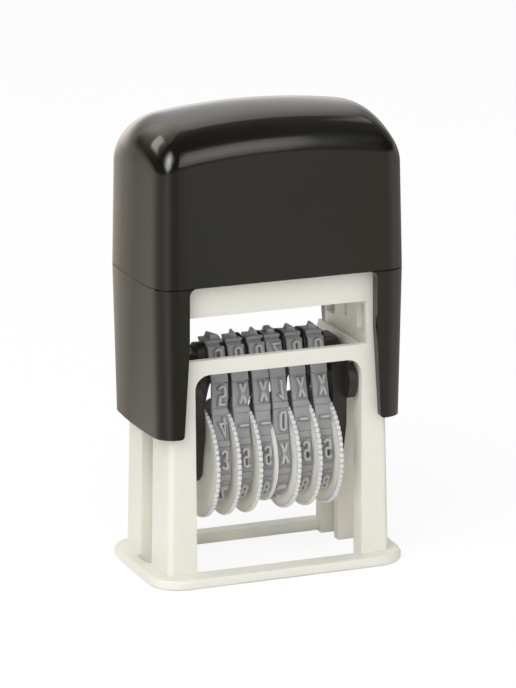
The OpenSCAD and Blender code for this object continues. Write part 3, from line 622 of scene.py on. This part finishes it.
band = {
    "typeY": -0.5, "typeZ": 38.4, "typeR": 4.2, "bandR": 8.5,
    "arcStep": 4, "plateArcStep": 1, "straightSteps": 20,
    # Depths below the type's face. The plates are spaced along the neutral line.
    "neutral": 1.75, "surface": 0.95, "plateTop": 0.84, "inside": 1.8, "insideTop": 1.28,
    "plateDepth": 0.6, "plateL": 4.3, "plateW": 2.8, "edge": 0.14, "stripW": 2.75, "stripEdge": 0.1,
    "barW": 2.87, "barRise": 0.12, "barEdge": 0.08, "groove": 0.13, "knee": 0.3,
    "faceHalf": 0.16, "footHalf": 0.4, "footSunk": 0.05, "mitre": 0.45, "samePoint": 1e-6,
    "halfW": 0.45, "halfH": 1.56, "glyphX": 0.12, "sharp": 30,
    "sequence": "10X-98765432", "atTop": ("7", "1", "1", "3", "1", "1"),
    "topAt": -0.1, "secondAt": 3.7, "thirdAt": 10.25,
    # How far each band stands out of line, and how much wider it is stretched, at these heights.
    "levels": (21, 24.5, 28, 30.6, 32, 34, 39.5, 43),
    "shifts": (
        (0.1, 0.25, 0.36, 0.38, 0.8, 0.9, 0.85, 0.85),
        (0.1, 0.2, 0.36, 0.38, 0.78, 0.75, 0.55, 0.45),
        (0.22, 0.24, 0.36, 0.38, 0.55, 0.55, 0.45, 0.4),
        (-0.2, -0.14, 0.2, 0.32, 0.35, 0.28, 0.12, 0.05),
        (0, 0, 0.1, 0.08, 0.05, 0, 0, 0), (0, 0, 0.15, 0.1, 0.05, 0.05, 0.1, 0)),
    "stretch": (0.09, 0.09, 0.09, 0.04, 0.07, 0.07), "stretchRise": (28, 32),
    # More of the same up the back.
    "behind": (0, 1.0, 0.75, 0.35, 0, 0.6), "behindRise": (28.2, 29.5), "behindFrom": 3,
}


def beltGeometry():
    # Where the straight runs at the front and the back touch both ends.
    y, z = band["typeY"] - wheel["axleY"], band["typeZ"] - wheel["axleZ"]
    angle = math.asin((band["bandR"] - band["typeR"]) / math.hypot(y, z))
    tilt = math.atan2(y, z)
    return math.pi - angle - tilt, angle - tilt


def beltLoop(depth, topDepth, step):
    # Points (y, z) round both ends from the top, down the front and up the back.
    front, back = beltGeometry()
    top = band["typeR"] - topDepth
    steps = band["straightSteps"]
    points = []
    for y, z, radius, start, end in (
            (band["typeY"], band["typeZ"], top, math.pi / 2, front),
            (wheel["axleY"], wheel["axleZ"], band["bandR"] - depth, front, back + math.tau),
            (band["typeY"], band["typeZ"], top, back, math.pi / 2)):
        count = max(2, math.ceil((end - start) / math.radians(step)))
        turns = [start + (end - start) * k / count for k in range(count + 1)]
        arc = [(y + radius * math.cos(t), z + radius * math.sin(t)) for t in turns]
        if points:
            ends = list(zip(points[-1], arc[0]))
            points += [tuple(a + (b - a) * k / steps for a, b in ends) for k in range(1, steps)]
        points += arc
    return points[:-1]


def loopLengths(points):
    return [math.dist(points[k], points[(k + 1) % len(points)]) for k in range(len(points))]


def placesAlong(points, distances):
    # Place (y, z) and lean of each point that far along the loop.
    lengths = loopLengths(points)
    found = []
    for distance in distances:
        distance %= sum(lengths)
        k = 0
        while distance > lengths[k]:
            distance -= lengths[k]
            k += 1
        (y1, z1), (y2, z2) = points[k], points[(k + 1) % len(points)]
        s = distance / lengths[k]
        found.append((y1 + s * (y2 - y1), z1 + s * (z2 - z1), math.atan2(z1 - z2, y1 - y2)))
    return found


def glyphStrokes():
    # The middle lines of each character's strokes, and whether they close.
    w, h = band["halfW"], band["halfH"]
    foot = arcPoints(0, w - h, w, w, 180, 360, 9)
    oval = arcPoints(0, h - w, w, w, 0, 180, 9) + foot
    lower = arcPoints(0, -w + 0.12, w, w, 0, 180, 9) + foot
    tail = [(-w, w - h)] + arcPoints(0, h - w, w, w, 180, 10, 8)
    upper = (arcPoints(0, h - 0.5, 0.5, 0.5, 0, 180, 8)
             + arcPoints(0, 0.62, 0.5, 0.5, 180, 360, 8))
    belly = arcPoints(0, -0.46, w, w, 0, 180, 8) + arcPoints(0, w - h, w, w, 180, 360, 8)
    threeTop = (arcPoints(0, h - w, w, w, 165, -10, 7)
                + arcPoints(-0.05, 0.55, w - 0.05, 0.5, -20, -90, 4))
    threeFoot = (arcPoints(-0.05, -0.47, w - 0.05, 0.52, 90, 0, 4)
                 + arcPoints(0, w - h, w, w, 0, -165, 7))
    five = ([(w - 0.05, h), (0.05 - w, h), (0.05 - w, 0.2)]
            + arcPoints(0, -0.25, w, 0.5, 130, 0, 5) + arcPoints(0, w - h, w, w, 0, -160, 7))
    six = [(lower, True), (tail, False)]
    return {
        "0": [(oval, True)],
        "1": [([(-0.4, h - 0.5), (0.1, h), (0.1, -h)], False)],
        "2": [(arcPoints(0, h - w, w, w, 170, -25, 8) + [(-w, -h), (w, -h)], False)],
        "3": [(threeTop, False), (threeFoot, False)],
        "4": [([(0.3, -h), (0.3, h), (-w - 0.05, -0.7), (w + 0.05, -0.7)], False)],
        "5": [(five, False)],
        "6": six,
        "7": [([(-w, h), (w, h), (-0.12, -h)], False)],
        "8": [(upper, True), (belly, True)],
        "9": [([(-x, -y) for x, y in path], closed) for path, closed in six],
        "X": [([(-0.43, h), (0.43, -h)], False), ([(-0.43, -h), (0.43, h)], False)],
        "-": [([(-0.62, 0), (0.62, 0)], False)],
    }


def sweepStroke(path, closed, low, high):
    # A ridge with sloping sides and ends along a flat path, four points to a ring.
    face, foot = band["faceHalf"], band["footHalf"]
    path = [p for k, p in enumerate(path)
            if k == 0 or math.dist(p, path[k - 1]) > band["samePoint"]]
    if closed and math.dist(path[0], path[-1]) < band["samePoint"]:
        path = path[:-1]
    path = [Vector(p) for p in path]
    last = len(path) - 1
    rings = []
    for k, spot in enumerate(path):
        ways = []
        if closed or k > 0:
            ways.append((spot - path[k - 1]).normalized())
        if closed or k < last:
            ways.append((path[(k + 1) % len(path)] - spot).normalized())
        way = sum(ways, Vector((0, 0))).normalized()
        side = Vector((-way.y, way.x)) * (1 / max(way.dot(ways[0]), band["mitre"]))
        end = 0 if closed or 0 < k < last else (-1 if k == 0 else 1)
        atFoot, atFace = (spot + way * reach * end for reach in (foot, face))
        rings.append([(*(atFoot + side * foot), low), (*(atFace + side * face), high),
                      (*(atFace - side * face), high), (*(atFoot - side * foot), low)])
    return closedLoft(rings) if closed else loft(rings)


def slabRings(width, length, low, top, edge):
    # A block with a rounded edge round its top.
    knee = edge * band["knee"]
    rings = []
    for inset, z in ((0, low), (0, top - edge), (knee, top - knee), (edge, top)):
        x, y = width / 2 - inset, length / 2 - inset
        rings.append([(-x, -y, z), (x, -y, z), (x, y, z), (-x, y, z)])
    return rings


def plateMesh(name, strokes):
    # One character plate. Y goes up the front of the band and Z points outward,
    # with the band's neutral line at Z 0. Type is mirrored, so Y is turned over.
    top = band["neutral"] - band["plateTop"]
    points, faces = loft(slabRings(
        band["plateW"], band["plateL"], top - band["plateDepth"], top, band["edge"]))
    slab = len(points)
    for path, closed in strokes:
        more, moreFaces = sweepStroke(
            [(x + band["glyphX"], -y) for x, y in path], closed,
            top - band["footSunk"], band["neutral"])
        faces += [tuple(i + len(points) for i in face) for face in moreFaces]
        points += more
    mesh = makeMesh(name, points, faces, band["sharp"])
    # Marks the type's face (1) and foot (-1), which the band's material paints with a highlight and
    # with shade.
    raised = [0.0] * slab + [1.0 if point[2] > top else -1.0 for point in points[slab:]]
    mesh.attributes.new("raised", "FLOAT", "POINT").data.foreach_set("value", raised)
    return mesh


def barMesh(name):
    # The plain bar between two plates, a millimetre long before it is stretched.
    top = band["neutral"] - band["plateTop"] + band["barRise"]
    return makeMesh(name, *loft(slabRings(
        band["barW"], 1, top - band["plateDepth"], top, band["barEdge"])), band["sharp"])


def plateTree():
    tree, given, output = newTree("platesOnBelt", [
        ("Set", "Collection"), ("Shift", "Vector"), ("Belt", "Object"), ("Material", "Material")])
    link = tree.links.new
    spots = tree.nodes.new("GeometryNodeMeshToPoints")
    pick, size, lean = (
        addNode(tree, "GeometryNodeInputNamedAttribute", {"Name": name}, data_type=kind)
        for name, kind in (("pick", "INT"), ("size", "FLOAT_VECTOR"), ("lean", "FLOAT_VECTOR")))
    plates = addNode(tree, "GeometryNodeCollectionInfo", {
        "Separate Children": True, "Reset Children": True})
    place = addNode(tree, "GeometryNodeInstanceOnPoints", {"Pick Instance": True})
    move = tree.nodes.new("GeometryNodeTransform")
    belt = tree.nodes.new("GeometryNodeObjectInfo")
    join = tree.nodes.new("GeometryNodeJoinGeometry")
    link(given["Geometry"], spots.inputs["Mesh"])
    link(given["Set"], plates.inputs["Collection"])
    link(spots.outputs["Points"], place.inputs["Points"])
    link(plates.outputs["Instances"], place.inputs["Instance"])
    link(pick.outputs["Attribute"], place.inputs["Instance Index"])
    link(lean.outputs["Attribute"], place.inputs["Rotation"])
    link(size.outputs["Attribute"], place.inputs["Scale"])
    link(given["Belt"], belt.inputs["Object"])
    link(place.outputs["Instances"], join.inputs["Geometry"])
    link(belt.outputs["Geometry"], join.inputs["Geometry"])
    link(join.outputs["Geometry"], move.inputs["Geometry"])
    link(given["Shift"], move.inputs["Translation"])
    endTree(tree, move.outputs["Geometry"], given["Material"], output)
    return tree


def beltMesh():
    half, cut, step = band["stripW"] / 2, band["stripEdge"], band["arcStep"]
    deeper = band["surface"] + cut
    outer = beltLoop(band["surface"], band["surface"], step)
    side = beltLoop(deeper, deeper, step)
    inner = beltLoop(band["inside"], band["insideTop"], step)
    rings = [[(x, *p) for p in loop] for x, loop in (
        (cut - half, outer), (-half, side), (-half, inner),
        (half, inner), (half, side), (half - cut, outer))]
    return makeMesh("belt", *closedLoft(rings), band["sharp"])


def platePoints(name, first):
    # A point for every plate and for every bar between two plates.
    path = beltLoop(band["neutral"], band["neutral"], band["plateArcStep"])
    letters = len(band["sequence"])
    around = sum(loopLengths(path))
    rest = (around + band["topAt"] - band["thirdAt"]) / (letters - 2)
    plates = [band["topAt"], band["secondAt"]]
    plates += [band["thirdAt"] + rest * k for k in range(letters - 2)]
    rows = [(distance, (first + k) % letters, 1.0) for k, distance in enumerate(plates)]
    for a, b in zip(plates, plates[1:] + [around + band["topAt"]]):
        length = b - a - band["plateL"] - 2 * band["groove"]
        if length > 0:
            rows.append(((a + b) / 2, letters, length))
    distances, picks, sizes = zip(*rows)
    places = placesAlong(path, distances)
    mesh = bpy.data.meshes.new(name)
    mesh.from_pydata([Vector((0, y, z)) * mm for y, z, lean in places], [], [])
    mesh.attributes.new("pick", "INT", "POINT").data.foreach_set("value", picks)
    for key, values in (("lean", [(lean, 0, 0) for y, z, lean in places]),
                        ("size", [(1, size, 1) for size in sizes])):
        mesh.attributes.new(key, "FLOAT_VECTOR", "POINT").data.foreach_set(
            "vector", [number for value in values for number in value])
    return mesh


def atHeight(z, levels, values):
    for k in range(1, len(levels)):
        if z < levels[k]:
            share = max(0, (z - levels[k - 1]) / (levels[k] - levels[k - 1]))
            return values[k - 1] + share * (values[k] - values[k - 1])
    return values[-1]


def setAside(mesh, index, middle):
    # A rubber band doesn't lie quite straight: it stands aside and is wider near the type.
    for vertex in mesh.vertices:
        y, z = vertex.co.y / mm, vertex.co.z / mm
        wider = atHeight(z, band["stretchRise"], (0, band["stretch"][index]))
        shift = atHeight(z, band["levels"], band["shifts"][index])
        behind = min(max((y - band["typeY"]) / band["behindFrom"], 0), 1)
        shift += behind * atHeight(z, band["behindRise"], (0, band["behind"][index]))
        vertex.co.x = middle + (vertex.co.x - middle) * (1 + wider) + shift * mm


def buildBands():
    strokes = glyphStrokes()
    plates = bpy.data.collections.new("plates")
    for k, letter in enumerate(band["sequence"]):
        name = f"plate{k:02d}"
        plates.objects.link(bpy.data.objects.new(name, plateMesh(name, strokes[letter])))
    plates.objects.link(bpy.data.objects.new("plateBar", barMesh("plateBar")))
    belt = linkObject("belt", beltMesh())
    tree = plateTree()
    for index in range(wheel["count"]):
        name = f"numberBand{index + 1}"
        middle = (bandLeft(index) + wheel["bandW"] / 2) * mm
        points = platePoints(name, band["sequence"].index(band["atTop"][index]))
        piece = runTree(name, points, tree, {
            "Set": plates, "Belt": belt, "Shift": (middle, 0, 0),
            "Material": materials["bandRubber"]}, band["sharp"])
        setAside(piece.data, index, middle)
        finishPiece(piece, materials["bandRubber"], "carriage", "band_rubber",
                    f"number_band_{index + 1}")
    bpy.data.objects.remove(belt)
    for plate in list(plates.objects):
        bpy.data.objects.remove(plate)
    bpy.data.collections.remove(plates)


buildBands()
print("bands built")


# Return spring

spring = {
    "wire": 0.8, "radius": 5.2, "turns": 5, "tread": 1.02, "lowZ": 54.75, "highZ": 80.53,
    "seatZ": 54.5, "steps": 32, "sides": 10,
}


def springTree():
    tree, given, output = newTree("wireAlongPath", [
        ("Wire", "Float"), ("Sides", "Int"), ("Material", "Material")])
    link = tree.links.new
    curve = tree.nodes.new("GeometryNodeMeshToCurve")
    ring = tree.nodes.new("GeometryNodeCurvePrimitiveCircle")
    sweep = addNode(tree, "GeometryNodeCurveToMesh", {"Fill Caps": True})
    link(given["Geometry"], curve.inputs["Mesh"])
    link(given["Wire"], ring.inputs["Radius"])
    link(given["Sides"], ring.inputs["Resolution"])
    link(curve.outputs["Curve"], sweep.inputs["Curve"])
    link(ring.outputs["Curve"], sweep.inputs["Profile Curve"])
    endTree(tree, sweep.outputs["Mesh"], given["Material"], output)
    return tree


def buildSpring():
    # Its first and last turns lie flat, wire on wire.
    wire, turns, low = spring["wire"], spring["turns"], spring["seatZ"]
    tread = wire * spring["tread"]
    rise = spring["highZ"] - spring["lowZ"] - 2 * tread
    path = []
    for k in range(turns * spring["steps"] + 1):
        t = k / spring["steps"]
        climb = min(max((t - 1) / (turns - 2), 0), 1)
        z = spring["lowZ"] + tread * (min(1, t) + max(0, t - turns + 1)) + rise * climb
        path.append(Vector((spring["radius"] * math.cos(math.tau * t),
                            spring["radius"] * math.sin(math.tau * t), z)) * mm)
    mesh = bpy.data.meshes.new("returnSpring")
    mesh.from_pydata(path, [(k, k + 1) for k in range(len(path) - 1)], [])
    piece = runTree("returnSpring", mesh, springTree(), {
        "Wire": wire / 2 * mm, "Sides": spring["sides"], "Material": materials["steel"]})
    finishPiece(piece, materials["steel"], "base", "steel", "return_spring")
    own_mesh(piece)


buildSpring()
print("spring built")


# Floor, world, lamps and camera

studio = {
    "floorSize": 3.0, "paper": (0.9, 0.9, 0.9, 1), "paperRough": 0.9, "white": 1.08,
    "whiteShare": 0.78, "fill": 0.56, "glow": 1.5, "hazeLow": 0.08, "hazeHigh": 0.24,
    # The numbers in floorSeen and boxes are a fitting program's output, pasted in. A few of
    # floorSeen's stops were changed afterwards.
    # What glossy surfaces see of the floor: angle from the front towards +X, and colour.
    "floorSeen": [
        (-180, (1.15, 1.07, 0.95)), (-174, (1.08, 1.00, 0.88)), (-168, (0.80, 0.74, 0.65)),
        (-160, (0.46, 0.42, 0.36)), (-152, (0.37, 0.34, 0.29)), (-140, (0.62, 0.58, 0.51)),
        (-132, (0.72, 0.68, 0.60)), (-112, (0.86, 0.83, 0.74)), (-98, (0.59, 0.57, 0.52)),
        (-86, (0.45, 0.44, 0.41)), (-74, (0.38, 0.38, 0.35)), (-58, (0.49, 0.48, 0.46)),
        (-46, (0.72, 0.71, 0.66)), (-35, (0.57, 0.57, 0.52)), (-27, (0.34, 0.34, 0.30)),
        (-16, (0.23, 0.22, 0.20)), (6, (0.20, 0.20, 0.16)), (13, (0.29, 0.29, 0.26)),
        (18, (0.44, 0.44, 0.40)), (30, (0.43, 0.37, 0.33)), (60, (0.69, 0.66, 0.60)),
        (140, (0.1, 0.1, 0.1)), (150, (0.29, 0.28, 0.27)), (180, (1.15, 1.07, 0.95))],
    # Soft boxes that only glossy surfaces see: azimuth, elevation, width, height, tilt,
    # softness, colour.
    "boxes": [
        (174, 33, 48.9, 42.8, 2, 0.22, (0.66, 0.64, 0.62)),
        (169, 10, 35.4, 61.8, 34, 0.11, (0.20, 0.21, 0.23)),
        (-144, 35, 18.6, 7.8, -63, 0.36, (3.63, 3.38, 2.91)),
        (-66, 48, 38.9, 15.0, -12, 0.77, (4.40, 4.42, 4.09)),
        (-62, 35, 36.2, 18.8, -37, 0.83, (8.53, 8.54, 9.07)),
        (19, 30, 14.2, 32.4, -14, 0.16, (1.08, 1.04, 1.00)),
        (23, 33, 29.9, 14.1, 36, 0.85, (0.59, 0.63, 0.54)),
        (128, 33, 68.2, 86.3, 8, 0.37, (0.28, 0.26, 0.25)),
        (122, 48, 8.2, 26.5, 44, 0.58, (1.24, 1.17, 1.05)),
        (19, 32, 13.8, 26.9, 11, 0.88, (1.22, 1.16, 1.16)),
        (-166, 38, 37.6, 24.9, -19, 0.90, (1.34, 1.24, 1.07))],
    # Lamps that glossy surfaces don't see: azimuth, elevation, width, height, radiance.
    "lamps": {"keyLamp": (-52, 42, 50, 36, 2.2), "frontLamp": (-30, 16, 44, 36, 1.35)},
    "lampAim": (0, 0, 0.05),
}

view = {
    "azimuth": -21.54, "elevation": 15.02, "roll": -0.135, "distance": 0.7377,
    "aim": (0.00022, 0, 0.03957), "focalPixels": 4150, "tallPixels": 688, "sensor": 36,
}


def bearing(azimuth, elevation):
    # The direction at these angles, from the front towards +X and up, and the level one across.
    turn, rise = math.radians(azimuth), math.radians(elevation)
    away = Vector((math.sin(turn) * math.cos(rise), -math.cos(turn) * math.cos(rise),
                   math.sin(rise)))
    return away, Vector((math.cos(turn), math.sin(turn), 0))


def compassRamp(tree, source):
    # The floor's colour by direction round the upright axis.
    stops = studio["floorSeen"]
    turn = addNode(tree, "ShaderNodeMapping", {"Rotation": (0, 0, math.pi / 2)})
    compass = addNode(tree, "ShaderNodeTexGradient", gradient_type="RADIAL")
    ramp = tree.nodes.new("ShaderNodeValToRGB")
    tree.links.new(source, turn.inputs["Vector"])
    tree.links.new(turn.outputs["Vector"], compass.inputs["Vector"])
    tree.links.new(compass.outputs["Fac"], ramp.inputs["Fac"])
    elements = ramp.color_ramp.elements
    while len(elements) < len(stops):
        elements.new(0.5)
    for element, (degrees, colour) in zip(elements, stops):
        element.position = (degrees + 180) / 360
        element.color = (*colour, 1)
    return ramp.outputs["Color"]


def mixShaders(tree, factor, first, second):
    mix = tree.nodes.new("ShaderNodeMixShader")
    for k, source in enumerate((factor, first, second)):
        if isinstance(source, float):
            mix.inputs[k].default_value = source
        else:
            tree.links.new(source, mix.inputs[k])
    return mix.outputs[0]


def byRay(tree, plain, toCamera, toGloss):
    # One shader for lighting, one for the camera and one for gloss and glass.
    rays = tree.nodes.new("ShaderNodeLightPath").outputs
    mirrored = addNode(tree, "ShaderNodeMath", operation="MAXIMUM")
    tree.links.new(rays["Is Glossy Ray"], mirrored.inputs[0])
    tree.links.new(rays["Is Transmission Ray"], mirrored.inputs[1])
    seen = mixShaders(tree, rays["Is Camera Ray"], plain, toCamera)
    return mixShaders(tree, mirrored.outputs[0], seen, toGloss)


def buildFloor():
    size = studio["floorSize"]
    mesh = bpy.data.meshes.new("floor")
    mesh.from_pydata([(-size, -size, 0), (size, -size, 0), (size, size, 0), (-size, size, 0)], [],
                     [(0, 1, 2, 3)])
    floor = linkObject("floor", mesh)
    material = bpy.data.materials.new("paleFloor")
    material.use_nodes = True
    tree = material.node_tree
    paper = tree.nodes["Principled BSDF"]
    paper.inputs["Base Color"].default_value = studio["paper"]
    paper.inputs["Roughness"].default_value = studio["paperRough"]
    paper.inputs["Specular IOR Level"].default_value = 0.0
    white = addNode(tree, "ShaderNodeEmission", {"Strength": studio["white"]})
    glow = addNode(tree, "ShaderNodeEmission", {"Strength": studio["glow"]})
    place = tree.nodes.new("ShaderNodeTexCoord").outputs["Object"]
    tree.links.new(compassRamp(tree, place), glow.inputs["Color"])
    shaded = mixShaders(tree, studio["whiteShare"], paper.outputs[0], white.outputs[0])
    whole = byRay(tree, paper.outputs[0], shaded, glow.outputs[0])
    tree.links.new(whole, tree.nodes["Material Output"].inputs["Surface"])
    mesh.materials.append(material)


def softBox(tree, way, box, below):
    # Adds a soft-edged bright rectangle round one direction to the light below it.
    azimuth, elevation, wide, high, tilt, soft, colour = box
    ahead, level = bearing(azimuth, elevation)
    lean = math.radians(tilt)
    upward = level.cross(-ahead)
    across = level * math.cos(lean) + upward * math.sin(lean)
    along = upward * math.cos(lean) - level * math.sin(lean)
    halves = [math.sin(math.radians(angle / 2)) for angle in (wide, high)]
    inside = None
    for axis, half in ((across, halves[0]), (along, halves[1]), (ahead, None)):
        part = addNode(tree, "ShaderNodeVectorMath", {1: axis}, operation="DOT_PRODUCT")
        tree.links.new(way, part.inputs[0])
        mask = part.outputs["Value"]
        if half:
            size = addNode(tree, "ShaderNodeMath", operation="ABSOLUTE")
            tree.links.new(mask, size.inputs[0])
            mask = size.outputs[0]
        # The last pass only keeps the box off the far side.
        start, end = (half * (1 - soft), half * (1 + soft)) if half else (0.01, 0)
        fade = addNode(tree, "ShaderNodeMapRange", {
            "From Min": start, "From Max": end, "To Min": 1, "To Max": 0},
            interpolation_type="SMOOTHSTEP")
        tree.links.new(mask, fade.inputs["Value"])
        mask = fade.outputs["Result"]
        if inside is not None:
            both = addNode(tree, "ShaderNodeMath", operation="MULTIPLY")
            tree.links.new(inside, both.inputs[0])
            tree.links.new(mask, both.inputs[1])
            mask = both.outputs[0]
        inside = mask
    lit = addNode(tree, "ShaderNodeVectorMath", {1: colour}, operation="MULTIPLY_ADD")
    tree.links.new(inside, lit.inputs[0])
    tree.links.new(below, lit.inputs[2])
    return lit.outputs[0]


def buildWorld():
    world = bpy.data.worlds.new("studio")
    scene.world = world
    world.use_nodes = True
    tree = world.node_tree
    link = tree.links.new
    soft = tree.nodes["Background"]
    soft.inputs["Color"].default_value = (1, 1, 1, 1)
    soft.inputs["Strength"].default_value = studio["fill"]
    white = addNode(tree, "ShaderNodeBackground", {"Color": (1, 1, 1, 1)})
    sky = tree.nodes.new("ShaderNodeBackground")
    way = tree.nodes.new("ShaderNodeTexCoord").outputs["Generated"]
    split = tree.nodes.new("ShaderNodeSeparateXYZ")
    haze = addNode(tree, "ShaderNodeMapRange", {
        "From Min": studio["hazeLow"], "From Max": studio["hazeHigh"],
        "To Min": studio["glow"], "To Max": 0.0})
    low = addNode(tree, "ShaderNodeVectorMath", operation="MULTIPLY")
    link(way, split.inputs[0])
    link(split.outputs["Z"], haze.inputs["Value"])
    link(compassRamp(tree, way), low.inputs[0])
    link(haze.outputs["Result"], low.inputs[1])
    light = low.outputs[0]
    for box in studio["boxes"]:
        light = softBox(tree, way, box, light)
    link(light, sky.inputs["Color"])
    whole = byRay(tree, soft.outputs[0], white.outputs[0], sky.outputs[0])
    link(whole, tree.nodes["World Output"].inputs["Surface"])


def areaLamp(name, azimuth, elevation, wide, high, radiance):
    # A soft lamp a metre from where it aims. Its size is given as the angles that it covers.
    away = bearing(azimuth, elevation)[0]
    lamp = bpy.data.lights.new(name, "AREA")
    lamp.shape = "RECTANGLE"
    lamp.size, lamp.size_y = (2 * math.tan(math.radians(angle / 2)) for angle in (wide, high))
    lamp.energy = radiance * math.pi * lamp.size * lamp.size_y
    made = linkObject(name, lamp)
    made.location = Vector(studio["lampAim"]) + away
    made.rotation_euler = away.to_track_quat("Z", "Y").to_euler()
    made.visible_glossy = False


def buildCamera():
    away, level = bearing(view["azimuth"], view["elevation"])
    upward = away.cross(level)
    roll = math.radians(view["roll"])
    right = math.cos(roll) * level + math.sin(roll) * upward
    up = math.cos(roll) * upward - math.sin(roll) * level
    lens = bpy.data.cameras.new("camera")
    lens.sensor_width = view["sensor"]
    lens.lens = view["focalPixels"] * view["sensor"] / view["tallPixels"]
    camera = linkObject("camera", lens)
    turned = Matrix((right, up, away)).transposed().to_4x4()
    place = Vector(view["aim"]) + away * view["distance"]
    camera.matrix_world = Matrix.Translation(place) @ turned
    scene.camera = camera


buildFloor()
buildWorld()
for name, sizes in studio["lamps"].items():
    areaLamp(name, *sizes)
buildCamera()
scene.view_settings.view_transform = "Standard"
print("stage ready")
